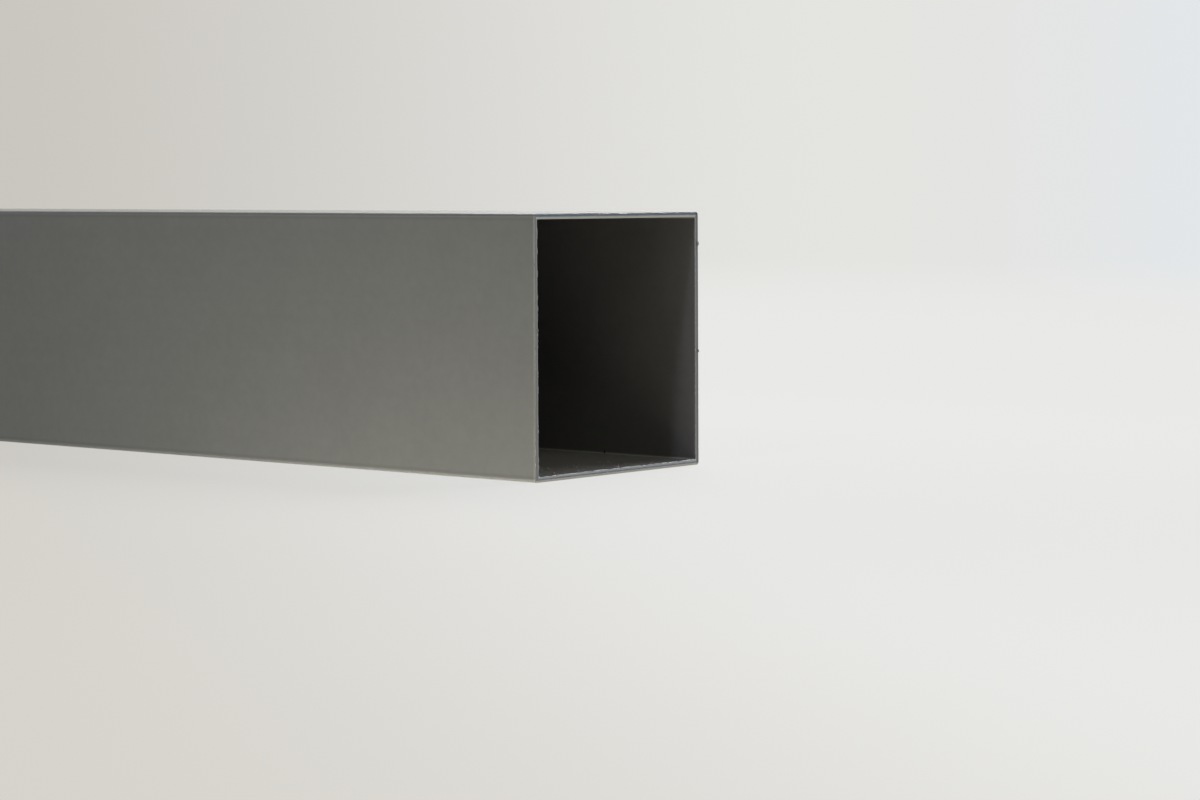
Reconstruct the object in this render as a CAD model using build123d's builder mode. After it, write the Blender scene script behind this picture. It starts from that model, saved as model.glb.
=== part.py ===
from build123d import *
import os

# Square downpipe, in millimetres: one length of extruded aluminium tube, sawn square at both ends.
# It lies on one of its flats with its axis along X, and the origin is on the ground under its middle.

# Driving dimensions
pipe_length = 1000.0
outer_side = 100.0
wall = 2.0
outer_corner_radius = 1.2
inner_corner_radius = 0.5

# Sizes that follow
bore_side = outer_side - 2 * wall
axis_height = outer_side / 2

# The section is drawn at the left-hand saw cut, square to the axis, and the pipe runs from there to the right
saw_cut = Plane(
    origin=(-pipe_length / 2, 0, axis_height),
    x_dir=(0, 1, 0),
    z_dir=(1, 0, 0),
)

# The tube: a thin-walled hollow section with near-sharp corners, a softer one outside than inside
with BuildPart() as downpipe:
    with BuildSketch(saw_cut) as section:
        RectangleRounded(outer_side, outer_side, outer_corner_radius)
        RectangleRounded(bore_side, bore_side, inner_corner_radius, mode=Mode.SUBTRACT)
    extrude(amount=pipe_length)

downpipe.part.label = "downpipe"

os.makedirs("parts", exist_ok=True)
export_step(downpipe.part, "parts/downpipe.step")
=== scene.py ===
"""The looks of the square downpipe: one sawn length of coated aluminium tube, lying on pale studio paper."""
import logging
import math
from dataclasses import dataclass, field
from enum import Enum

import bmesh
import bpy
from bpy.types import ID, Material, NodeOutputs, NodeSocket, NodeTree, Object
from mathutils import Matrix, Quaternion, Vector, noise


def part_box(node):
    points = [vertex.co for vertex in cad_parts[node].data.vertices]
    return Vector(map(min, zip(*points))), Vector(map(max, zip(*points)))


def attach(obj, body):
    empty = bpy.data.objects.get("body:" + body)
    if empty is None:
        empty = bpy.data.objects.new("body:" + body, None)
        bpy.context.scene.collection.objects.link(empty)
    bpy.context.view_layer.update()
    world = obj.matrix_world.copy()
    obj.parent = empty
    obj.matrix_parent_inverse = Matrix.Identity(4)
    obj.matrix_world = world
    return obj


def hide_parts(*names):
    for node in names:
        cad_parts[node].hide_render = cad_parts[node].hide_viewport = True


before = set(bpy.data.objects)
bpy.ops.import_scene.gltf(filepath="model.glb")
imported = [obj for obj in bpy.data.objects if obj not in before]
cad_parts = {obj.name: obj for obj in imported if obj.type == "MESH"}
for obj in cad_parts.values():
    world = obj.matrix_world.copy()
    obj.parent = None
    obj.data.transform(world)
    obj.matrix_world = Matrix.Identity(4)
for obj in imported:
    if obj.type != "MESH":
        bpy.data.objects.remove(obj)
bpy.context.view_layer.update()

CAD_NODE = "downpipe"
BODY = "root"
MM = 0.001
SOCKET_KINDS = {float: "Float", int: "Int", tuple: "Vector"}

# Most of a noise's values lie within this swing of its middle.
NOISE_MIDDLE = 0.5
NOISE_SWING = 0.25

# A colour ramp's places from 0 to 1 and their sRGB hex colours, in order.
Stops = tuple[tuple[float, str], ...]
Triple = tuple[float, float, float]

log = logging.getLogger("downpipe")


class PipeEnd(Enum):
    """The two sawn ends, by the direction in which each one faces along X."""

    RIGHT = 1
    LEFT = -1


class Rim(Enum):
    """The two edges of a saw cut that a burr hangs on."""

    OUTER = "outer"
    INNER = "inner"


def linear(hex_colour: str) -> tuple[float, float, float, float]:
    """Turns an sRGB hex colour into Blender's linear values.

    Args:
        hex_colour: The colour as a hash and six hex digits.

    Returns:
        Linear red, green and blue, and an alpha of 1.
    """
    shares = [int(hex_colour[i:i + 2], 16) / 255 for i in (1, 3, 5)]
    return *(s / 12.92 if s <= 0.04045 else ((s + 0.055) / 1.055) ** 2.4 for s in shares), 1.0


def per_metre(wavelength_mm: float) -> float:
    """Gives the noise scale at which a pattern repeats about once in that many millimetres."""
    return 1 / (wavelength_mm * MM)


def add(tree: NodeTree, kind: str, inputs: dict | None = None,
        stops: Stops = (), **settings: object) -> NodeOutputs:
    """Adds one node to a tree, with its settings and its links.

    Args:
        tree: The shader or geometry tree.
        kind: The node's type name.
        inputs: Input name or number to a value, to the output that feeds it, or to a list of such outputs.
        stops: A colour ramp's places from 0 to 1 and their sRGB hex colours, in order.
        **settings: The node's own properties.

    Returns:
        The new node's outputs.
    """
    made = tree.nodes.new(kind)
    for name, value in settings.items():
        setattr(made, name, value)
    for number, (place, colour) in enumerate(stops):
        elements = made.color_ramp.elements
        element = elements[number] if number < len(elements) else elements.new(place)
        element.position = place
        element.color = linear(colour)
    for key, value in (inputs or {}).items():
        for source in value if isinstance(value, list) else [value]:
            if isinstance(source, NodeSocket):
                tree.links.new(source, made.inputs[key])
            else:
                made.inputs[key].default_value = source
    return made.outputs


def new_material(name: str) -> tuple[Material, NodeTree]:
    """Starts an empty node material.

    Args:
        name: The material's name.

    Returns:
        The material and its node tree.
    """
    material = bpy.data.materials.new(name)
    material.use_nodes = True
    material.node_tree.nodes.clear()
    return material, material.node_tree


def new_tree(name: str, values: dict[str, object]) -> tuple[NodeTree, NodeOutputs]:
    """Starts a geometry tree with one geometry output, and an input for each named value.

    Args:
        name: The tree's name.
        values: Input name to the value that it is going to get.

    Returns:
        The tree and its inputs, to link from.
    """
    tree = bpy.data.node_groups.new(name, "GeometryNodeTree")
    for label, value in values.items():
        kind = "NodeSocket" + SOCKET_KINDS.get(type(value), "Material")
        tree.interface.new_socket(label, in_out="INPUT", socket_type=kind)
    tree.interface.new_socket("Geometry", in_out="OUTPUT", socket_type="NodeSocketGeometry")
    return tree, tree.nodes.new("NodeGroupInput").outputs


def rounded_square(tree: NodeTree, side: NodeSocket, corner: NodeSocket,
                   facets: int) -> NodeSocket:
    """Draws a round-cornered square, flat and centred.

    Args:
        tree: The geometry tree.
        side: The square's side.
        corner: The radius of its corners.
        facets: The number of points on each corner.

    Returns:
        The closed curve.
    """
    square = add(tree, "GeometryNodeCurvePrimitiveQuadrilateral", {"Width": side, "Height": side})[0]
    return add(tree, "GeometryNodeFilletCurve", {
        "Curve": square, "Count": facets, "Radius": corner,
    }, mode="POLY")[0]


def stand_up(tree: NodeTree, flat: NodeSocket,
             middle: NodeSocket) -> NodeSocket:
    """Stands a flat drawing up across the pipe, where X is 0.

    Args:
        tree: The geometry tree.
        flat: The drawing, centred.
        middle: The height of its middle above the ground.

    Returns:
        The drawing, upright.
    """
    drawn = add(tree, "ShaderNodeSeparateXYZ", {0: add(tree, "GeometryNodeInputPosition")[0]})
    height = add(tree, "ShaderNodeMath", {0: drawn["Y"], 1: middle}, operation="ADD")[0]
    upright = add(tree, "ShaderNodeCombineXYZ", {"Y": drawn["X"], "Z": height})[0]
    return add(tree, "GeometryNodeSetPosition", {"Geometry": flat, "Position": upright})[0]


def put_in_scene(name: str, data: ID) -> Object:
    """Makes an object and links it to the scene.

    Args:
        name: The object's name.
        data: Its mesh, lamp or camera.

    Returns:
        The object.
    """
    made = bpy.data.objects.new(name, data)
    bpy.context.scene.collection.objects.link(made)
    return made


def grow(tree: NodeTree, name: str, values: dict[str, object]) -> Object:
    """Runs a geometry tree once and keeps its result as a plain mesh.

    Args:
        tree: The geometry tree.
        name: The new piece's name.
        values: Input name to value.

    Returns:
        A mesh object at the origin, with no modifier.
    """
    carrier = put_in_scene(name + "_carrier", bpy.data.meshes.new(name + "_carrier"))
    modifier = carrier.modifiers.new(name, "NODES")
    modifier.node_group = tree
    for item in tree.interface.items_tree:
        if item.in_out == "INPUT":
            modifier[item.identifier] = values[item.name]
    graph = bpy.context.evaluated_depsgraph_get()
    mesh = bpy.data.meshes.new_from_object(carrier.evaluated_get(graph), depsgraph=graph)
    mesh.name = name
    carrier.modifiers.remove(modifier)
    bpy.data.objects.remove(carrier)
    return put_in_scene(name, mesh)


def hand_over(piece: Object) -> None:
    """Fixes a finished piece to the pipe's body, in place of the plain solid, and logs it.

    Args:
        piece: The piece.
    """
    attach(piece, BODY)
    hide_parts(CAD_NODE)
    log.info("%s: %d faces", piece.name, len(piece.data.polygons))


@dataclass(frozen=True)
class SatinPowderCoat:
    """Satin polyester powder coat, baked on to extruded aluminium.

    It gives a soft, even, slightly green grey sheen. Under it lie a hardly visible orange peel and the die's
    faint lengthwise lines. Each outer corner has a paler painted highlight with a faint painted shade line
    beside it, and each inside corner a painted light line. Along the last millimetre before a saw cut it is
    paler and broken: chipped coat, and a painted highlight where the raised lip catches the light.
    """

    half_length: float
    half_side: float
    # Paler rim by the saw cut: chipped coat, and a painted highlight where the raised lip catches the light.
    rim_chip_and_highlight_tone: str = "#8B8C86"
    # Painted highlight on each outer corner, with a faint painted shade line just inside it, over this reach.
    corner_highlight_reach_mm: float = 4.0
    corner_highlight_tones: Stops = (
        (0.0, "#7C7D77"), (0.3, "#767771"), (0.4, "#686963"), (0.55, "#696A64"), (0.7, "#6F706A"),
    )
    inside_tone: str = "#716F6B"
    # Painted light line along each inside corner.
    inside_corner_highlight_tone: str = "#A3A39B"
    inside_corner_highlight_mm: tuple[float, float] = (2.8, 2.2)
    mottle_share: float = 0.04
    mottle_mm: float = 28.0
    grain_share: float = 0.035
    grain_mm: float = 3.5
    die_line_mm: float = 2.6
    die_line_run_mm: float = 420.0
    die_line_share: float = 0.014
    roughness: float = 0.44
    roughness_swing: float = 0.05
    peel_mm: float = 1.3
    peel_depth_mm: float = 0.004
    line_depth_mm: float = 0.003
    rim_pale_from_mm: float = 1.65
    rim_pale_full_mm: float = 1.1
    skin_mm: float = 1.0
    ior: float = 1.5

    def material(self) -> Material:
        """Builds the coating.

        Returns:
            The material.
        """
        material, tree = new_material("satin_powder_coat")
        place = add(tree, "ShaderNodeTexCoord")["Object"]
        mottle = add(tree, "ShaderNodeTexNoise", {
            "Vector": place, "Scale": per_metre(self.mottle_mm), "Detail": 3.0, "Roughness": 0.6,
        })["Fac"]
        stretch = self.die_line_mm / self.die_line_run_mm
        drawn = add(tree, "ShaderNodeMapping", {"Vector": place, "Scale": (stretch, 1.0, 1.0)})[0]
        lines = add(tree, "ShaderNodeTexNoise", {
            "Vector": drawn, "Scale": per_metre(self.die_line_mm), "Detail": 2.0, "Roughness": 0.55,
        })["Fac"]
        peel = add(tree, "ShaderNodeTexNoise", {
            "Vector": place, "Scale": per_metre(self.peel_mm), "Detail": 1.5,
        })["Fac"]
        grain = add(tree, "ShaderNodeTexNoise", {
            "Vector": place, "Scale": per_metre(self.grain_mm), "Detail": 2.0,
        })["Fac"]
        shade = self._swing(tree, mottle, self.mottle_share, 1.0)
        shade = self._swing(tree, lines, self.die_line_share, shade)
        shade = self._swing(tree, grain, self.grain_share, shade)
        even = add(tree, "ShaderNodeVectorMath", {
            0: self._tone(tree, place), "Scale": shade,
        }, operation="SCALE")[0]
        # Paler rim by the cut: chipped coat and painted highlight.
        colour = add(tree, "ShaderNodeMix", {
            "Factor": self._rim(tree, place, peel), 6: even, 7: linear(self.rim_chip_and_highlight_tone),
        }, data_type="RGBA")[2]
        rough = add(tree, "ShaderNodeMapRange", {
            "Value": mottle, "To Min": self.roughness - self.roughness_swing,
            "To Max": self.roughness + self.roughness_swing,
        })[0]
        fine = add(tree, "ShaderNodeBump", {"Height": peel, "Distance": self.peel_depth_mm * MM})
        relief = add(tree, "ShaderNodeBump", {
            "Height": lines, "Distance": self.line_depth_mm * MM, "Normal": fine[0],
        })[0]
        shader = add(tree, "ShaderNodeBsdfPrincipled", {
            "Base Color": colour, "Roughness": rough, "Normal": relief, "IOR": self.ior,
        })[0]
        add(tree, "ShaderNodeOutputMaterial", {"Surface": shader})
        return material

    def _swing(self, tree: NodeTree, pattern: NodeSocket, share: float,
               before: NodeSocket | float) -> NodeSocket:
        """Multiplies a brightness by a noise that swings about 1.

        Args:
            tree: The material's tree.
            pattern: A noise from 0 to 1.
            share: How far the brightness swings to each side.
            before: The brightness so far.

        Returns:
            The new brightness.
        """
        swung = add(tree, "ShaderNodeMapRange", {
            "Value": pattern, "From Min": NOISE_MIDDLE - NOISE_SWING, "From Max": NOISE_MIDDLE + NOISE_SWING,
            "To Min": 1 - share, "To Max": 1 + share,
        })[0]
        return add(tree, "ShaderNodeMath", {0: swung, 1: before}, operation="MULTIPLY")[0]

    def _tone(self, tree: NodeTree, place: NodeSocket) -> NodeSocket:
        """Tones the coat by its distance from a corner: a painted highlight on each outer corner, with a
        painted shade line beside it. The inside is even but for a painted light line along each corner.

        Args:
            tree: The material's tree.
            place: Object coordinates.

        Returns:
            The colour.
        """
        axes = add(tree, "ShaderNodeSeparateXYZ", {0: place})
        rise = add(tree, "ShaderNodeMath", {0: axes["Z"], 1: self.half_side}, operation="SUBTRACT")[0]
        up = add(tree, "ShaderNodeMath", {0: rise}, operation="ABSOLUTE")[0]
        out = add(tree, "ShaderNodeMath", {0: axes["Y"]}, operation="ABSOLUTE")[0]
        along_flat = add(tree, "ShaderNodeMath", {0: up, 1: out}, operation="MINIMUM")[0]
        farthest = add(tree, "ShaderNodeMath", {0: up, 1: out}, operation="MAXIMUM")[0]
        inside = add(tree, "ShaderNodeMath", {
            0: farthest, 1: self.half_side - self.skin_mm * MM,
        }, operation="LESS_THAN")[0]
        share = add(tree, "ShaderNodeMapRange", {
            "Value": along_flat, "From Min": self.half_side,
            "From Max": self.half_side - self.corner_highlight_reach_mm * MM,
        })[0]
        # The outer corners' painted highlight and painted shade line.
        outside = add(tree, "ShaderNodeValToRGB", {"Fac": share}, stops=self.corner_highlight_tones)["Color"]
        far, near = (self.half_side - reach * MM for reach in self.inside_corner_highlight_mm)
        # Painted light line along the inside corners.
        inside_highlight_share = add(tree, "ShaderNodeMapRange", {
            "Value": along_flat, "From Min": far, "From Max": near,
        })[0]
        within = add(tree, "ShaderNodeMix", {
            "Factor": inside_highlight_share, 6: linear(self.inside_tone), 7: linear(self.inside_corner_highlight_tone),
        }, data_type="RGBA")[2]
        return add(tree, "ShaderNodeMix", {
            "Factor": inside, 6: outside, 7: within,
        }, data_type="RGBA")[2]

    def _rim(self, tree: NodeTree, place: NodeSocket,
             pattern: NodeSocket) -> NodeSocket:
        """Finds how pale the rim is, from chipped coat and a painted highlight: most at the saw cut, not at
        all a millimetre away, and broken up.

        Args:
            tree: The material's tree.
            place: Object coordinates.
            pattern: The noise that breaks the rim's edge.

        Returns:
            A share from 0 to 1.
        """
        along = add(tree, "ShaderNodeSeparateXYZ", {0: place})["X"]
        reach = add(tree, "ShaderNodeMath", {0: along}, operation="ABSOLUTE")[0]
        near = add(tree, "ShaderNodeMapRange", {
            "Value": reach, "From Min": self.half_length - self.rim_pale_from_mm * MM,
            "From Max": self.half_length - self.rim_pale_full_mm * MM,
        }, interpolation_type="SMOOTHSTEP")[0]
        return add(tree, "ShaderNodeMath", {0: near, 1: pattern}, operation="MULTIPLY")[0]


@dataclass(frozen=True)
class SawnAluminium:
    """Bare aluminium as a saw leaves it.

    The blade leaves fine scratches across the metal. On the level walls the cut is a smooth pale grey below;
    above it lie a darker band of painted shadow under the burr and a ragged upper edge where it broke
    through, a painted highlight at the foot and painted blue-grey shade at the top. The upright walls are
    more even: a painted shade band, with a painted highlight on the inner edge. Each set of tones runs across
    a wall: up, or in from the outer face.
    """

    side: float
    wall: float
    # Across each wall: the cut's own pale grey, painted shadow under the burr, and painted highlights and
    # shade on its edges.
    foot_lit_and_shaded_tones: Stops = (
        (0.0, "#CCCAC0"), (0.36, "#CCCAC0"), (0.46, "#8B8C8E"), (0.62, "#8B8C8E"), (0.72, "#B9C0C6"),
    )
    top_lit_and_shaded_tones: Stops = (
        (0.0, "#CCCAC0"), (0.36, "#C6C5BD"), (0.5, "#7B838B"), (1.0, "#727D89"),
    )
    front_lit_and_shaded_tones: Stops = (
        (0.0, "#A9A8A1"), (0.3, "#A9A8A1"), (0.42, "#8A8986"), (0.72, "#8A8986"), (0.86, "#B0B2B2"),
    )
    back_lit_and_shaded_tones: Stops = (
        (0.0, "#7D7D7E"), (0.42, "#7D7D7E"), (0.58, "#939391"), (0.9, "#9A9B9A"),
    )
    metallic: float = 0.25
    roughness: float = 0.5
    scratch_mm: float = 0.12
    scratch_depth_mm: float = 0.012
    scratch_stretch: Triple = (1.0, 1.0, 0.15)
    grit_mm: float = 0.72
    break_up: float = 0.12

    def material(self) -> Material:
        """Builds the finish of the cut face.

        Returns:
            The material.
        """
        material, tree = new_material("sawn_aluminium")
        place = add(tree, "ShaderNodeTexCoord")["Object"]
        axes = add(tree, "ShaderNodeSeparateXYZ", {0: place})
        height = add(tree, "ShaderNodeMath", {0: axes["Z"], 1: self.side / 2}, operation="SUBTRACT")[0]
        rise = add(tree, "ShaderNodeMath", {0: height}, operation="ABSOLUTE")[0]
        reach = add(tree, "ShaderNodeMath", {0: axes["Y"]}, operation="ABSOLUTE")[0]
        level = add(tree, "ShaderNodeMath", {0: rise, 1: reach}, operation="GREATER_THAN")[0]
        grit = add(tree, "ShaderNodeTexNoise", {
            "Vector": place, "Scale": per_metre(self.grit_mm), "Detail": 3.0,
        })["Fac"]
        over = add(tree, "ShaderNodeMath", {0: axes["Z"], 1: self.side - self.wall}, operation="SUBTRACT")[0]
        upper = add(tree, "ShaderNodeMath", {0: over, 1: 0.0}, operation="GREATER_THAN")[0]
        within = add(tree, "ShaderNodeMix", {"Factor": upper, 2: axes["Z"], 3: over})[0]
        depth = add(tree, "ShaderNodeMath", {0: self.side / 2, 1: reach}, operation="SUBTRACT")[0]
        behind = add(tree, "ShaderNodeMath", {0: axes["Y"], 1: 0.0}, operation="GREATER_THAN")[0]
        upright = add(tree, "ShaderNodeMix", {
            "Factor": behind, 6: self._lit_and_shaded_bands(tree, depth, grit, self.front_lit_and_shaded_tones),
            7: self._lit_and_shaded_bands(tree, depth, grit, self.back_lit_and_shaded_tones),
        }, data_type="RGBA")[2]
        flat = add(tree, "ShaderNodeMix", {
            "Factor": upper, 6: self._lit_and_shaded_bands(tree, within, grit, self.foot_lit_and_shaded_tones),
            7: self._lit_and_shaded_bands(tree, within, grit, self.top_lit_and_shaded_tones),
        }, data_type="RGBA")[2]
        colour = add(tree, "ShaderNodeMix", {"Factor": level, 6: upright, 7: flat}, data_type="RGBA")[2]
        scratches = add(tree, "ShaderNodeTexNoise", {
            "Vector": add(tree, "ShaderNodeMapping", {"Vector": place, "Scale": self.scratch_stretch})[0],
            "Scale": per_metre(self.scratch_mm), "Detail": 2.0,
        })["Fac"]
        relief = add(tree, "ShaderNodeBump", {"Height": scratches, "Distance": self.scratch_depth_mm * MM})
        shader = add(tree, "ShaderNodeBsdfPrincipled", {
            "Base Color": colour, "Roughness": self.roughness, "Metallic": self.metallic,
            "Normal": relief[0],
        })[0]
        add(tree, "ShaderNodeOutputMaterial", {"Surface": shader})
        return material

    def _lit_and_shaded_bands(self, tree: NodeTree, across: NodeSocket, grit: NodeSocket,
               stops: Stops) -> NodeSocket:
        """Colours a wall in bands of painted light and shade, whose edges a noise breaks up.

        Args:
            tree: The material's tree.
            across: Distance across the wall, in metres.
            grit: A noise from 0 to 1.
            stops: Place across the wall from 0 to 1, and colour.

        Returns:
            The colour.
        """
        share = add(tree, "ShaderNodeMath", {0: across, 1: self.wall}, operation="DIVIDE")[0]
        shift = add(tree, "ShaderNodeMapRange", {
            "Value": grit, "To Min": -self.break_up, "To Max": self.break_up,
        })[0]
        ragged = add(tree, "ShaderNodeMath", {0: share, 1: shift}, operation="ADD")[0]
        return add(tree, "ShaderNodeValToRGB", {"Fac": ragged}, stops=stops)["Color"]


@dataclass(frozen=True)
class TornAluminium:
    """Burr and swarf of bare aluminium: torn, work-hardened and bright, with a slightly cold glint.

    Along the top edge most of the burr is painted a dull blue-grey, as painted shade.
    """

    side: float
    name: str = "torn_aluminium"
    tone: str = "#BFC4C7"
    # Painted shade on the burr along the top edge.
    top_shade_tone: str = "#6F7A86"
    top_shade_band_mm: float = 1.0
    shade_patch_mm: float = 6.0
    shade_patch_from: float = 0.34
    shade_patch_to: float = 0.44
    metallic: float = 0.3
    roughness: float = 0.38
    tear_mm: float = 0.5
    tear_depth_mm: float = 0.05

    def material(self) -> Material:
        """Builds the finish of the burr.

        Returns:
            The material.
        """
        material, tree = new_material(self.name)
        place = add(tree, "ShaderNodeTexCoord")["Object"]
        height = add(tree, "ShaderNodeSeparateXYZ", {0: place})["Z"]
        at_top = add(tree, "ShaderNodeMath", {
            0: height, 1: self.side - self.top_shade_band_mm * MM,
        }, operation="GREATER_THAN")[0]
        patches = add(tree, "ShaderNodeTexNoise", {
            "Vector": place, "Scale": per_metre(self.shade_patch_mm), "Detail": 1.0,
        })["Fac"]
        # Patches of painted shade along the top edge.
        shaded_share = add(tree, "ShaderNodeMapRange", {
            "Value": patches, "From Min": self.shade_patch_from, "From Max": self.shade_patch_to, "To Max": at_top,
        })[0]
        tone = add(tree, "ShaderNodeMix", {
            "Factor": shaded_share, 6: linear(self.tone), 7: linear(self.top_shade_tone),
        }, data_type="RGBA")[2]
        tears = add(tree, "ShaderNodeTexNoise", {
            "Vector": place, "Scale": per_metre(self.tear_mm), "Detail": 3.0, "Roughness": 0.7,
        })["Fac"]
        relief = add(tree, "ShaderNodeBump", {"Height": tears, "Distance": self.tear_depth_mm * MM})[0]
        shader = add(tree, "ShaderNodeBsdfPrincipled", {
            "Base Color": tone, "Metallic": self.metallic, "Roughness": self.roughness, "Normal": relief,
        })[0]
        add(tree, "ShaderNodeOutputMaterial", {"Surface": shader})
        return material


@dataclass(frozen=True)
class Grit:
    """A grain of dirt caught behind the burr: dull, matt and a little uneven in tone."""

    name: str
    tone: str
    roughness: float = 0.85
    speckle_mm: float = 0.3
    speckle_share: float = 0.4

    def material(self) -> Material:
        """Builds the finish of the grain.

        Returns:
            The material.
        """
        material, tree = new_material(self.name)
        place = add(tree, "ShaderNodeTexCoord")["Object"]
        speckle = add(tree, "ShaderNodeTexNoise", {
            "Vector": place, "Scale": per_metre(self.speckle_mm), "Detail": 2.0,
        })["Fac"]
        shade = add(tree, "ShaderNodeMapRange", {
            "Value": speckle, "To Min": 1 - self.speckle_share, "To Max": 1 + self.speckle_share,
        })[0]
        colour = add(tree, "ShaderNodeVectorMath", {
            0: linear(self.tone)[:3], "Scale": shade,
        }, operation="SCALE")
        shader = add(tree, "ShaderNodeBsdfPrincipled", {
            "Base Color": colour[0], "Roughness": self.roughness,
        })[0]
        add(tree, "ShaderNodeOutputMaterial", {"Surface": shader})
        return material


@dataclass
class ExtrudedTube:
    """The tube itself: a square section with a bore, pushed along X, and closed at both saw cuts.

    Lengths are in metres. The cuts lie a little inside the pipe's true length, which the burr fills, and the
    right-hand one leans back by a hair from foot to top.
    """

    length: float
    side: float
    wall: float = 2 * MM
    outer_corner: float = 1.2 * MM
    inner_corner: float = 0.5 * MM
    burr_room: float = 0.6 * MM
    lean: float = 0.5 * MM
    facets: int = 12
    weld: float = 0.001 * MM
    cut_facing: float = 0.5

    @property
    def bore(self) -> float:
        """The side of the square opening."""
        return self.side - 2 * self.wall

    def slope(self, end: PipeEnd) -> float:
        """Gives how far a cut leans back for each metre of height."""
        return self.lean / self.side if end is PipeEnd.RIGHT else 0.0

    def cut_plane(self, end: PipeEnd, height: float = 0.0) -> float:
        """Gives the saw cut's place along X at a height above the ground."""
        return end.value * (self.length / 2 - self.burr_room - self.slope(end) * height)

    def build(self, coat: Material, cut: Material) -> Object:
        """Builds the tube's mesh.

        Args:
            coat: The material of its long faces.
            cut: The material of its sawn ends.

        Returns:
            The tube.
        """
        start, stop = self.cut_plane(PipeEnd.LEFT), self.cut_plane(PipeEnd.RIGHT)
        values = {
            "Side": self.side, "Bore": self.bore, "Middle height": self.side / 2,
            "Outer corner": self.outer_corner, "Inner corner": self.inner_corner, "Start": (start, 0.0, 0.0),
            "Run": (stop - start, 0.0, 0.0), "Slope": self.slope(PipeEnd.RIGHT), "Coat": coat, "Cut": cut,
        }
        return grow(self._tree(values), "square_pipe", values)

    def _tree(self, values: dict[str, object]) -> NodeTree:
        """Fills the section, pushes it along X, closes it and leans the right-hand cut.

        Args:
            values: Input name to value.

        Returns:
            The tree.
        """
        tree, size = new_tree("sawn tube", values)
        loops = add(tree, "GeometryNodeJoinGeometry", {0: [
            rounded_square(tree, size[side], size[corner], self.facets)
            for side, corner in (("Side", "Outer corner"), ("Bore", "Inner corner"))
        ]})
        flat = add(tree, "GeometryNodeFillCurve", {"Curve": loops[0]}, mode="TRIANGLES")[0]
        upright = stand_up(tree, flat, size["Middle height"])
        ring = add(tree, "GeometryNodeSetPosition", {"Geometry": upright, "Offset": size["Start"]})[0]
        pushed = add(tree, "GeometryNodeExtrudeMesh", {
            "Mesh": ring, "Offset": size["Run"], "Individual": False,
        })[0]
        flipped = add(tree, "GeometryNodeFlipFaces", {"Mesh": ring})[0]
        both = add(tree, "GeometryNodeJoinGeometry", {0: [pushed, flipped]})
        closed = add(tree, "GeometryNodeMergeByDistance", {"Geometry": both[0], "Distance": self.weld})
        place = add(tree, "ShaderNodeSeparateXYZ", {0: add(tree, "GeometryNodeInputPosition")[0]})
        at_right = add(tree, "ShaderNodeMath", {0: place["X"], 1: 0.0}, operation="GREATER_THAN")[0]
        back = add(tree, "ShaderNodeMath", {0: place["Z"], 1: size["Slope"]}, operation="MULTIPLY")[0]
        leaning = add(tree, "GeometryNodeSetPosition", {
            "Geometry": closed[0], "Selection": at_right,
            "Offset": add(tree, "ShaderNodeVectorMath", {
                0: (-1.0, 0.0, 0.0), "Scale": back,
            }, operation="SCALE")[0],
        })[0]
        facing = add(tree, "ShaderNodeSeparateXYZ", {0: add(tree, "GeometryNodeInputNormal")[0]})["X"]
        steep = add(tree, "ShaderNodeMath", {0: facing}, operation="ABSOLUTE")[0]
        on_cut = add(tree, "ShaderNodeMath", {0: steep, 1: self.cut_facing}, operation="GREATER_THAN")[0]
        flat_shaded = add(tree, "GeometryNodeSetShadeSmooth", {"Geometry": leaning, "Shade Smooth": False})[0]
        realised = add(tree, "GeometryNodeRealizeInstances", {"Geometry": flat_shaded})[0]
        coated = add(tree, "GeometryNodeSetMaterial", {"Geometry": realised, "Material": size["Coat"]})[0]
        sawn = add(tree, "GeometryNodeSetMaterial", {
            "Geometry": coated, "Selection": on_cut, "Material": size["Cut"],
        })[0]
        add(tree, "NodeGroupOutput", {"Geometry": sawn})
        return tree


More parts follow.
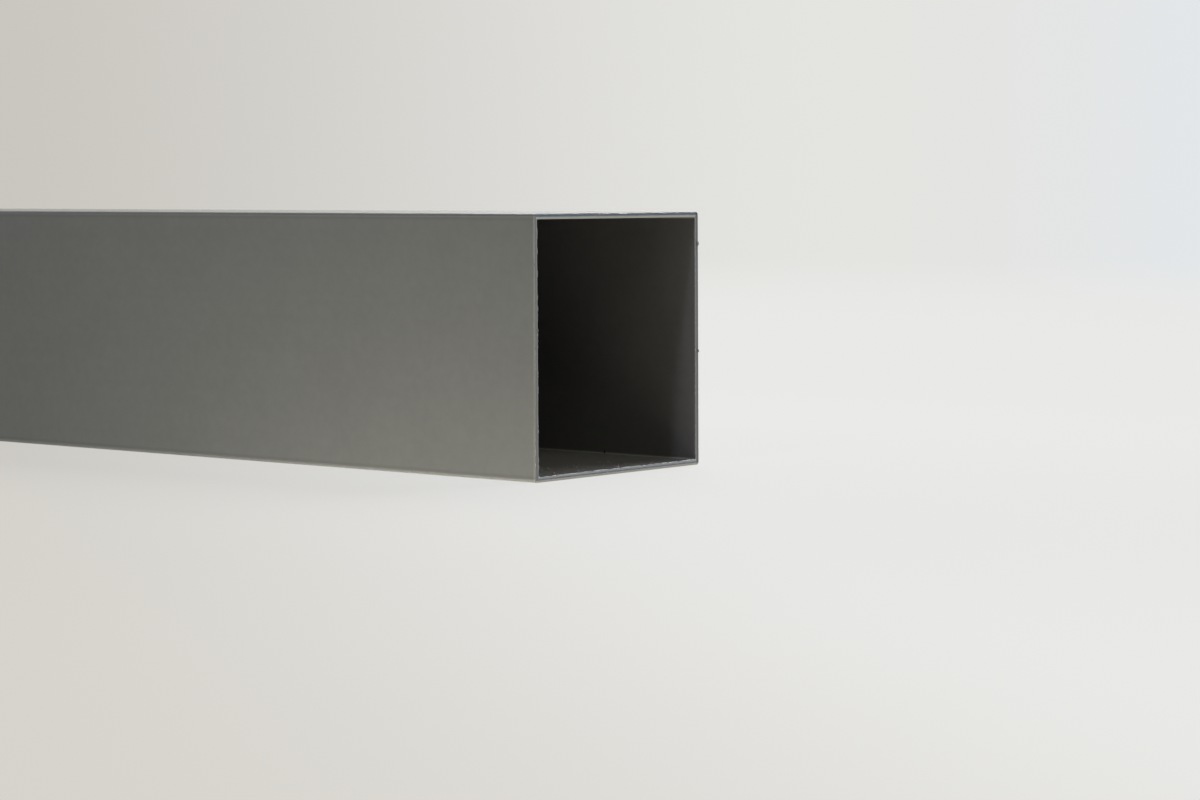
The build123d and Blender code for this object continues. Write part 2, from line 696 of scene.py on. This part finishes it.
@dataclass
class SawBurr:
    """The torn edge that the saw left on one cut: beaded ribbons of metal along its outer and its inner rim.

    The blade came up through the walls, so the burr is thick on top of each level wall, and thin and broken
    along the uprights. Every radius and length is in metres.
    """

    tube: ExtrudedTube
    end: PipeEnd
    top: dict[Rim, float] = field(default_factory=lambda: {Rim.OUTER: 0.3 * MM, Rim.INNER: 0.0})
    foot: dict[Rim, float] = field(default_factory=lambda: {Rim.OUTER: 0.07 * MM, Rim.INNER: 0.32 * MM})
    upright: dict[Rim, float] = field(default_factory=lambda: {Rim.OUTER: 0.07 * MM, Rim.INNER: 0.1 * MM})
    inset: float = 0.3 * MM
    stand: float = 0.12 * MM
    spacing: float = 0.25 * MM
    bead: float = 1.9 * MM
    least: float = 0.06 * MM
    wander: float = 0.1 * MM
    tear: float = 0.07 * MM
    wander_length: float = 3.8 * MM
    tear_length: float = 0.475 * MM
    bead_from: float = 0.36
    bead_full: float = 0.62
    facets: int = 6
    seeds: dict[PipeEnd, float] = field(default_factory=lambda: {PipeEnd.RIGHT: 1.0, PipeEnd.LEFT: 4.0})

    def build(self, torn: Material) -> Object:
        """Builds the burr of both rims.

        Args:
            torn: The material of torn metal.

        Returns:
            The burr.
        """
        tube, half = self.tube, self.tube.length / 2
        values = {
            "Outer loop": tube.side - 2 * self.inset, "Outer corner": tube.outer_corner,
            "Inner loop": tube.bore, "Inner corner": tube.inner_corner, "Middle height": tube.side / 2,
            "Stand": tube.cut_plane(self.end) + self.end.value * self.stand, "Slope": tube.slope(self.end),
            "Outer top": self.top[Rim.OUTER], "Outer foot": self.foot[Rim.OUTER],
            "Outer upright": self.upright[Rim.OUTER], "Inner top": self.top[Rim.INNER],
            "Inner foot": self.foot[Rim.INNER], "Inner upright": self.upright[Rim.INNER],
            "Lowest corner": (-half, -tube.side / 2, 0.0), "Highest corner": (half, tube.side / 2, tube.side),
            "Torn metal": torn, "Seed": self.seeds[self.end],
        }
        return grow(self._tree(values), "burr_" + self.end.name.lower(), values)

    def _tree(self, values: dict[str, object]) -> NodeTree:
        """Makes both ribbons, tears them and keeps them inside the pipe's own box.

        Args:
            values: Input name to value.

        Returns:
            The tree.
        """
        tree, size = new_tree("saw burr", values)
        ribbons = add(tree, "GeometryNodeJoinGeometry", {0: [
            self._ribbon(tree, size, rim) for rim in ("Outer", "Inner")
        ]})
        place = add(tree, "GeometryNodeInputPosition")[0]
        height = add(tree, "ShaderNodeSeparateXYZ", {0: place})["Z"]
        back = add(tree, "ShaderNodeMath", {0: height, 1: size["Slope"]}, operation="MULTIPLY")[0]
        along = add(tree, "ShaderNodeMath", {0: size["Stand"], 1: back}, operation="SUBTRACT")[0]
        stood = add(tree, "GeometryNodeSetPosition", {
            "Geometry": ribbons[0], "Offset": add(tree, "ShaderNodeCombineXYZ", {"X": along})[0],
        })[0]
        bent = self._shaken(tree, stood, self.wander_length, self.wander, size["Seed"])
        torn = self._shaken(tree, bent, self.tear_length, self.tear, size["Seed"])
        raised = add(tree, "ShaderNodeVectorMath", {0: place, 1: size["Lowest corner"]}, operation="MAXIMUM")
        within = add(tree, "ShaderNodeVectorMath", {
            0: raised[0], 1: size["Highest corner"],
        }, operation="MINIMUM")[0]
        boxed = add(tree, "GeometryNodeSetPosition", {"Geometry": torn, "Position": within})[0]
        realised = add(tree, "GeometryNodeRealizeInstances", {"Geometry": boxed})[0]
        dressed = add(tree, "GeometryNodeSetMaterial", {"Geometry": realised, "Material": size["Torn metal"]})
        add(tree, "NodeGroupOutput", {"Geometry": dressed[0]})
        return tree

    def _ribbon(self, tree: NodeTree, size: NodeOutputs, rim: str) -> NodeSocket:
        """Follows one rim, drops its weak stretches and thickens the rest into beads.

        Args:
            tree: The burr's tree.
            size: The tree's inputs.
            rim: The rim's name, as the inputs begin with it.

        Returns:
            The ribbon.
        """
        flat = rounded_square(tree, size[rim + " loop"], size[rim + " corner"], self.facets)
        loop = stand_up(tree, flat, size["Middle height"])
        fine = add(tree, "GeometryNodeResampleCurve", {"Curve": loop, "Length": self.spacing}, mode="LENGTH")
        thickness = self._thickness(tree, size, rim)
        edges = add(tree, "GeometryNodeCurveToMesh", {"Curve": fine[0]})[0]
        weak = add(tree, "ShaderNodeMath", {0: thickness, 1: self.least}, operation="LESS_THAN")[0]
        kept = add(tree, "GeometryNodeDeleteGeometry", {"Geometry": edges, "Selection": weak})[0]
        runs = add(tree, "GeometryNodeMeshToCurve", {"Mesh": kept})[0]
        ring = add(tree, "GeometryNodeCurvePrimitiveCircle", {"Resolution": self.facets, "Radius": 1.0})[0]
        return add(tree, "GeometryNodeCurveToMesh", {
            "Curve": runs, "Profile Curve": ring, "Scale": thickness, "Fill Caps": True,
        })[0]

    def _thickness(self, tree: NodeTree, size: NodeOutputs, rim: str) -> NodeSocket:
        """Gives the burr's radius: by where on the rim it is, times a noise that makes its beads.

        Args:
            tree: The burr's tree.
            size: The tree's inputs.
            rim: The rim's name, as the inputs begin with it.

        Returns:
            The radius.
        """
        place = add(tree, "GeometryNodeInputPosition")[0]
        axes = add(tree, "ShaderNodeSeparateXYZ", {0: place})
        rise = add(tree, "ShaderNodeMath", {0: axes["Z"], 1: size["Middle height"]}, operation="SUBTRACT")[0]
        up = add(tree, "ShaderNodeMath", {0: rise}, operation="ABSOLUTE")[0]
        out = add(tree, "ShaderNodeMath", {0: axes["Y"]}, operation="ABSOLUTE")[0]
        level = add(tree, "ShaderNodeMath", {0: up, 1: out}, operation="GREATER_THAN")[0]
        above = add(tree, "ShaderNodeMath", {0: rise, 1: 0.0}, operation="GREATER_THAN")[0]
        flat = add(tree, "GeometryNodeSwitch", {
            "Switch": above, "False": size[rim + " foot"], "True": size[rim + " top"],
        }, input_type="FLOAT")[0]
        most = add(tree, "GeometryNodeSwitch", {
            "Switch": level, "False": size[rim + " upright"], "True": flat,
        }, input_type="FLOAT")[0]
        beads = add(tree, "ShaderNodeTexNoise", {
            "Vector": place, "W": size["Seed"], "Scale": 1 / self.bead, "Detail": 2.0,
        }, noise_dimensions="4D")["Fac"]
        share = add(tree, "ShaderNodeMapRange", {
            "Value": beads, "From Min": self.bead_from, "From Max": self.bead_full,
        })[0]
        return add(tree, "ShaderNodeMath", {0: share, 1: most}, operation="MULTIPLY")[0]

    def _shaken(self, tree: NodeTree, shape: NodeSocket, wavelength: float, amount: float,
                seed: NodeSocket) -> NodeSocket:
        """Moves a shape's points about by a noise.

        Args:
            tree: The burr's tree.
            shape: What is moved.
            wavelength: How far apart the noise turns back.
            amount: About the most that a point moves.
            seed: The burr's seed.

        Returns:
            The moved shape.
        """
        drift = add(tree, "ShaderNodeTexNoise", {
            "Vector": add(tree, "GeometryNodeInputPosition")[0], "W": seed, "Scale": 1 / wavelength,
        }, noise_dimensions="4D")["Color"]
        centred = add(tree, "ShaderNodeVectorMath", {
            0: drift, 1: (NOISE_MIDDLE,) * 3,
        }, operation="SUBTRACT")[0]
        shift = add(tree, "ShaderNodeVectorMath", {
            0: centred, "Scale": amount / NOISE_SWING,
        }, operation="SCALE")[0]
        return add(tree, "GeometryNodeSetPosition", {"Geometry": shape, "Offset": shift})[0]


@dataclass(frozen=True)
class Lump:
    """One lump on the cut or behind it, in millimetres.

    It sits so far inward from the cut, so far across from the middle plane, and so high above the ground.
    """

    inward: float
    across: float
    height: float
    size: Triple


@dataclass
class Lumps:
    """Uneven lumps by the right-hand cut: torn metal or grains of dirt, as the photograph shows them."""

    tube: ExtrudedTube
    name: str
    lumps: tuple[Lump, ...]
    uneven: float = 0.3
    pattern: float = 1.7
    rounds: int = 2

    def build(self, material: Material) -> Object:
        """Builds all the lumps as one mesh.

        Args:
            material: What they are made of.

        Returns:
            The lumps.
        """
        shape = bmesh.new()
        for lump in self.lumps:
            self._add_lump(shape, lump)
        mesh = bpy.data.meshes.new(self.name)
        shape.to_mesh(mesh)
        shape.free()
        mesh.materials.append(material)
        return put_in_scene(self.name, mesh)

    def _add_lump(self, shape: bmesh.types.BMesh, lump: Lump) -> None:
        """Adds one uneven lump, kept inside the pipe's own box.

        Args:
            shape: The mesh that the lump is added to.
            lump: The lump.
        """
        half_side, half_length = self.tube.side / 2, self.tube.length / 2
        height = lump.height * MM
        along = self.tube.cut_plane(PipeEnd.RIGHT, height) - lump.inward * MM
        middle = Vector((along, lump.across * MM, height))
        ball = bmesh.ops.create_icosphere(shape, subdivisions=self.rounds, radius=1.0)
        for vertex in ball["verts"]:
            swell = 1 + self.uneven * noise.noise(vertex.co * self.pattern + middle / MM)
            spot = Vector([c * swell * s * MM / 2 for c, s in zip(vertex.co, lump.size)]) + middle
            vertex.co = (
                min(spot.x, half_length), max(-half_side, min(spot.y, half_side)),
                max(0.0, min(spot.z, self.tube.side)),
            )


@dataclass
class Swarf:
    """Sawdust of aluminium on the pipe's inside floor, just behind the cut, thickest near the front wall."""

    tube: ExtrudedTube
    reach: float = 24 * MM
    clear: float = 1.5 * MM
    per_square_metre: float = 90000.0
    least: float = 0.09 * MM
    most: float = 0.34 * MM
    thickest: float = 0.17 * MM
    tumble: Triple = (0.5, 0.5, 2 * math.pi)
    rarest: float = 0.94
    commonest: float = 0.1
    rarest_from: float = 0.25
    seed: int = 11

    def build(self, torn: Material) -> Object:
        """Scatters the chips.

        Args:
            torn: The material of torn metal.

        Returns:
            The swarf.
        """
        tube = self.tube
        middle = tube.cut_plane(PipeEnd.RIGHT) - self.clear - self.reach / 2
        width = tube.bore - 2 * self.clear
        values = {
            "Reach": self.reach, "Width": width, "Middle": (middle, 0.0, tube.wall + self.least),
            "Density": self.per_square_metre, "Front": -width / 2, "Behind": width * self.rarest_from,
            "Smallest": (self.least,) * 3, "Largest": (self.most, self.most, self.thickest),
            "Seed": self.seed, "Torn metal": torn,
        }
        return grow(self._tree(values), "swarf", values)

    def _tree(self, values: dict[str, object]) -> NodeTree:
        """Scatters chips over a strip of the inside floor.

        Args:
            values: Input name to value.

        Returns:
            The tree.
        """
        tree, size = new_tree("swarf", values)
        strip = add(tree, "GeometryNodeMeshGrid", {"Size X": size["Reach"], "Size Y": size["Width"]})[0]
        laid = add(tree, "GeometryNodeSetPosition", {"Geometry": strip, "Offset": size["Middle"]})[0]
        scattered = add(tree, "GeometryNodeDistributePointsOnFaces", {
            "Mesh": laid, "Density": size["Density"], "Seed": size["Seed"],
        })[0]
        place = add(tree, "GeometryNodeInputPosition")[0]
        across = add(tree, "ShaderNodeSeparateXYZ", {0: place})["Y"]
        rarity = add(tree, "ShaderNodeMapRange", {
            "Value": across, "From Min": size["Front"], "From Max": size["Behind"], "To Min": self.commonest,
            "To Max": self.rarest,
        })[0]
        dropped = add(tree, "FunctionNodeRandomValue", {
            "Probability": rarity, "Seed": size["Seed"],
        }, data_type="BOOLEAN")[3]
        spots = add(tree, "GeometryNodeDeleteGeometry", {"Geometry": scattered, "Selection": dropped})[0]
        spread = add(tree, "FunctionNodeRandomValue", {
            0: size["Smallest"], 1: size["Largest"], "Seed": size["Seed"],
        }, data_type="FLOAT_VECTOR")[0]
        turned = add(tree, "FunctionNodeRandomValue", {
            0: (0.0, 0.0, 0.0), 1: self.tumble, "Seed": size["Seed"],
        }, data_type="FLOAT_VECTOR")[0]
        chip = add(tree, "GeometryNodeMeshIcoSphere", {"Radius": 1.0, "Subdivisions": 1})[0]
        chips = add(tree, "GeometryNodeInstanceOnPoints", {
            "Points": spots, "Instance": chip, "Scale": spread, "Rotation": turned,
        })[0]
        realised = add(tree, "GeometryNodeRealizeInstances", {"Geometry": chips})[0]
        dressed = add(tree, "GeometryNodeSetMaterial", {"Geometry": realised, "Material": size["Torn metal"]})
        add(tree, "NodeGroupOutput", {"Geometry": dressed[0]})
        return tree


@dataclass
class ProductCamera:
    """A long lens, a little above the pipe, looking past the sawn end: the photograph's own view."""

    target_cut: float
    lens_mm: float = 92.45
    sensor_mm: float = 36.0
    azimuth: float = 39.25
    elevation: float = 3.94
    roll: float = -0.085
    from_cut: Triple = (740.9 * MM, -918.6 * MM, 109.6 * MM)

    def build(self) -> Object:
        """Adds the camera and makes it the scene's own.

        Returns:
            The camera.
        """
        data = bpy.data.cameras.new("camera")
        data.sensor_width = self.sensor_mm
        data.lens = self.lens_mm
        camera = put_in_scene("camera", data)
        a, e = math.radians(self.azimuth), math.radians(self.elevation)
        back = Vector((math.sin(a) * math.cos(e), -math.cos(a) * math.cos(e), math.sin(e)))
        rolled = back.to_track_quat("Z", "Y") @ Quaternion((0.0, 0.0, 1.0), math.radians(self.roll))
        camera.rotation_euler = rolled.to_euler()
        camera.location = Vector((self.target_cut, 0.0, 0.0)) + Vector(self.from_cut)
        bpy.context.scene.camera = camera
        return camera


@dataclass(frozen=True)
class StudioPaper:
    """Matt studio paper: pale, with painted light falloff, a little cooler on the right and warmer and greyer
    towards the left.

    The camera, and a gloss on the pipe, see mostly the paper's own tone, and over it the pipe's soft shadow
    near the pipe. The light that the paper otherwise sends back is that of a mid grey, so that the pipe's
    sides keep their modelling.
    """

    pipe_reach: float = 0.5
    standpoint: Triple = (1.24, -0.92, 0.11)
    tone: str = "#E9E9E7"
    # Painted shade on the floor towards the front left.
    front_shade_tone: str = "#D6D3CC"
    # Painted light falloff across the backdrop, from the cooler right to the darker, warmer left.
    backdrop_falloff_tones: Stops = ((0.0, "#E3E7EB"), (0.35, "#E4E4E1"), (1.0, "#C6C2BB"))
    bounce_tone: str = "#8C8C88"
    shadow_share: float = 0.16
    near: float = 0.12
    far: float = 0.5
    backdrop_from: float = 0.9
    backdrop_to: float = 3.6
    left_way: Triple = (-0.97, 0.26, 0.0)
    left_from: float = 0.66
    left_to: float = 0.95
    front_way: Triple = (-0.6, -0.8, 0.0)
    front_from: float = -0.3
    front_to: float = -0.02

    def material(self) -> Material:
        """Builds the finish of the paper.

        Returns:
            The material.
        """
        material, tree = new_material("studio_paper")
        place = add(tree, "ShaderNodeTexCoord")["Object"]
        share = add(tree, "ShaderNodeMapRange", {
            "Value": self._from_pipe(tree, place), "From Min": self.near, "From Max": self.far,
            "To Min": 1 - self.shadow_share,
        }, interpolation_type="SMOOTHSTEP")[0]
        tone = self._floor_tone(tree, place)
        matt = add(tree, "ShaderNodeBsdfDiffuse", {"Color": tone})[0]
        glow = add(tree, "ShaderNodeEmission", {"Color": tone})[0]
        shown = add(tree, "ShaderNodeMixShader", {0: share, 1: matt, 2: glow})[0]
        bounce = add(tree, "ShaderNodeBsdfDiffuse", {"Color": linear(self.bounce_tone)})[0]
        shader = add(tree, "ShaderNodeMixShader", {0: self.seen(tree), 1: bounce, 2: shown})[0]
        add(tree, "ShaderNodeOutputMaterial", {"Surface": shader})
        return material

    def seen(self, tree: NodeTree) -> NodeSocket:
        """Tells the camera's and a gloss's view of the paper from the light that it sends back.

        Args:
            tree: The world's tree, or the floor's.

        Returns:
            1 for the view, 0 for the light.
        """
        path = add(tree, "ShaderNodeLightPath")
        return add(tree, "ShaderNodeMath", {
            0: path["Is Camera Ray"], 1: path["Is Glossy Ray"],
        }, operation="MAXIMUM")[0]

    def backdrop(self, tree: NodeTree, way: NodeSocket) -> NodeSocket:
        """Paints the backdrop's light falloff by direction: paler and cooler on the right, darker and warmer
        on the left.

        Args:
            tree: The world's tree, or the floor's.
            way: The direction of what is shaded, as seen from the photograph's standpoint.

        Returns:
            The colour.
        """
        towards = add(tree, "ShaderNodeVectorMath", {0: way, 1: self.left_way}, operation="DOT_PRODUCT")
        share = add(tree, "ShaderNodeMapRange", {
            "Value": towards["Value"], "From Min": self.left_from, "From Max": self.left_to,
        })[0]
        # Painted light falloff from right to left.
        shades = add(tree, "ShaderNodeValToRGB", {"Fac": share}, stops=self.backdrop_falloff_tones)["Color"]
        shades.node.color_ramp.interpolation = "EASE"
        return shades

    def _from_pipe(self, tree: NodeTree, place: NodeSocket) -> NodeSocket:
        """Measures a point's distance along the floor from the pipe's middle line.

        Args:
            tree: The floor's tree.
            place: Object coordinates.

        Returns:
            The distance.
        """
        axes = add(tree, "ShaderNodeSeparateXYZ", {0: place})
        along = add(tree, "ShaderNodeMath", {0: axes["X"]}, operation="ABSOLUTE")[0]
        beyond = add(tree, "ShaderNodeMath", {0: along, 1: self.pipe_reach}, operation="SUBTRACT")[0]
        past = add(tree, "ShaderNodeMath", {0: beyond, 1: 0.0}, operation="MAXIMUM")[0]
        offset = add(tree, "ShaderNodeCombineXYZ", {"X": past, "Y": axes["Y"]})[0]
        return add(tree, "ShaderNodeVectorMath", {0: offset}, operation="LENGTH")["Value"]

    def _floor_tone(self, tree: NodeTree, place: NodeSocket) -> NodeSocket:
        """Tones the floor: even under the pipe, with painted shade to the front left, and like the backdrop
        far behind.

        Args:
            tree: The floor's tree.
            place: Object coordinates.

        Returns:
            The colour.
        """
        away = add(tree, "ShaderNodeVectorMath", {0: place}, operation="LENGTH")["Value"]
        depth = add(tree, "ShaderNodeMapRange", {
            "Value": away, "From Min": self.backdrop_from, "From Max": self.backdrop_to,
        }, interpolation_type="SMOOTHSTEP")[0]
        seen = add(tree, "ShaderNodeVectorMath", {0: place, 1: self.standpoint}, operation="SUBTRACT")[0]
        way = add(tree, "ShaderNodeVectorMath", {0: seen}, operation="NORMALIZE")[0]
        front = add(tree, "ShaderNodeVectorMath", {0: place, 1: self.front_way}, operation="DOT_PRODUCT")
        # Painted shade towards the front left.
        front_shade = add(tree, "ShaderNodeMapRange", {
            "Value": front["Value"], "From Min": self.front_from, "From Max": self.front_to,
        }, interpolation_type="SMOOTHSTEP")[0]
        close = add(tree, "ShaderNodeMix", {
            "Factor": front_shade, 6: linear(self.tone), 7: linear(self.front_shade_tone),
        }, data_type="RGBA")[2]
        return add(tree, "ShaderNodeMix", {
            "Factor": depth, 6: close, 7: self.backdrop(tree, way),
        }, data_type="RGBA")[2]


@dataclass
class SoftLamp:
    """One soft rectangular lamp, aimed at a point.

    A lamp that shines through the paper is only ever sampled directly: rays that find lamps by chance would
    hit the paper first, and part of its light would be lost.
    """

    name: str
    place: Triple
    aim: Triple
    width: float
    height: float
    watts: float
    tone: str = "#FFFFFF"
    through_paper: bool = False

    def build(self) -> Object:
        """Adds the lamp.

        Returns:
            The lamp.
        """
        data = bpy.data.lights.new(self.name, "AREA")
        data.cycles.use_multiple_importance_sampling = not self.through_paper
        data.shape = "RECTANGLE"
        data.size = self.width
        data.size_y = self.height
        data.energy = self.watts
        data.color = linear(self.tone)[:3]
        lamp = put_in_scene(self.name, data)
        lamp.location = self.place
        lamp.rotation_euler = (Vector(self.place) - Vector(self.aim)).to_track_quat("Z", "Y").to_euler()
        lamp.visible_camera = False
        return lamp


@dataclass
class Studio:
    """The pale paper floor, the backdrop's light and the soft lamps.

    The paper is thin and lies on a light table: the lamps below it light the pipe's side from underneath.
    """

    floor_reach: float = 20.0
    floor_height: float = 0.0
    paper: StudioPaper = StudioPaper()
    sky_tone: str = "#F4F5F7"
    sky_strength: float = 0.11
    lamps: list[SoftLamp] = field(default_factory=lambda: [
        SoftLamp("back_light", (0.1, 1.3, 1.3), (0.3, 0.0, 0.0), 1.8, 1.0, 40.0),
        SoftLamp("lip_light", (0.583, -0.84, 0.7), (0.5, 0.0, 0.05), 0.05, 0.12, 1.75, "#DBE0FA"),
        SoftLamp("right_light", (1.55, -0.1, 1.2), (0.5, 0.0, 0.05), 0.7, 0.7, 3.6, "#FFFFF3"),
        SoftLamp("under_light", (0.3, -0.36, -0.34), (0.32, -0.05, 0.05), 0.34, 0.26, 0.69, "#FBFBFF", True),
        SoftLamp("under_edge", (0.45, -0.18, -0.16), (0.45, -0.05, 0.05), 0.12, 0.12, 0.27, "#FFF7EC", True),
        SoftLamp("under_rim", (0.49, -0.18, -0.16), (0.49, -0.05, 0.05), 0.12, 0.12, 0.27, "#FFF7EC", True),
        SoftLamp("under_mouth", (0.85, -0.35, -0.4), (0.5, 0.0, 0.08), 0.4, 0.4, 0.65, "#FFF9F0", True),
    ])

    def build(self) -> None:
        """Adds the floor, the world and the lamps."""
        mesh = bpy.data.meshes.new("floor")
        r, z = self.floor_reach, self.floor_height
        mesh.from_pydata([(-r, -r, z), (r, -r, z), (r, r, z), (-r, r, z)], [], [(0, 1, 2, 3)])
        mesh.materials.append(self.paper.material())
        floor = put_in_scene("floor", mesh)
        floor.visible_shadow = False
        self._world()
        for lamp in self.lamps:
            lamp.build()

    def _world(self) -> None:
        """Lights the pipe with an even sky, which the camera and a gloss see as the paper's backdrop."""
        world = bpy.data.worlds.new("studio")
        world.use_nodes = True
        tree = world.node_tree
        tree.nodes.clear()
        sky = add(tree, "ShaderNodeBackground", {
            "Color": linear(self.sky_tone), "Strength": self.sky_strength,
        })
        way = add(tree, "ShaderNodeTexCoord")["Generated"]
        paper = add(tree, "ShaderNodeBackground", {"Color": self.paper.backdrop(tree, way), "Strength": 1.0})
        both = add(tree, "ShaderNodeMixShader", {
            0: self.paper.seen(tree), 1: sky[0], 2: paper[0],
        })[0]
        add(tree, "ShaderNodeOutputWorld", {"Surface": both})
        bpy.context.scene.world = world


def main() -> None:
    """Builds the pipe, the studio and the camera."""
    low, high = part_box(CAD_NODE)
    tube = ExtrudedTube(length=high.x - low.x, side=high.z - low.z)
    coat = SatinPowderCoat(half_length=tube.length / 2, half_side=tube.side / 2)
    cut = SawnAluminium(side=tube.side, wall=tube.wall)
    torn = TornAluminium(tube.side).material()
    blunt = TornAluminium(tube.side, "blunt_aluminium", "#85867F").material()
    hand_over(tube.build(coat.material(), cut.material()))
    for end in PipeEnd:
        hand_over(SawBurr(tube, end).build(torn))
    hand_over(Lumps(tube, "torn_lumps", (
        Lump(0.0, 47.9, 91.6, (0.9, 0.9, 2.6)),
        Lump(-0.2, 49.6, 87.6, (1.0, 0.9, 2.0)),
        Lump(-0.2, 49.7, 45.2, (0.8, 0.6, 1.3)),
        Lump(0.0, -49.7, 81.0, (0.9, 0.5, 1.1)),
        Lump(-0.1, -48.0, 56.8, (0.7, 0.6, 1.0)),
        Lump(0.0, -49.7, 50.0, (0.9, 0.5, 1.2)),
    )).build(blunt))
    hand_over(Swarf(tube).build(torn))
    orange = Lump(1.3, -37.5, 2.4, (0.9, 0.9, 0.8))
    dark = Lump(46.0, 47.6, 2.9, (0.5, 0.5, 1.7))
    hand_over(Lumps(tube, "orange_grain", (orange,)).build(Grit("orange_dust", "#C8804A").material()))
    hand_over(Lumps(tube, "dark_grain", (dark,)).build(Grit("dark_dust", "#141411").material()))
    Studio().build()
    ProductCamera(target_cut=tube.cut_plane(PipeEnd.RIGHT)).build()
    bpy.context.scene.view_settings.view_transform = "Standard"


if __name__ == "__main__":
    logging.basicConfig(level=logging.INFO, format="%(name)s: %(message)s")
    main()
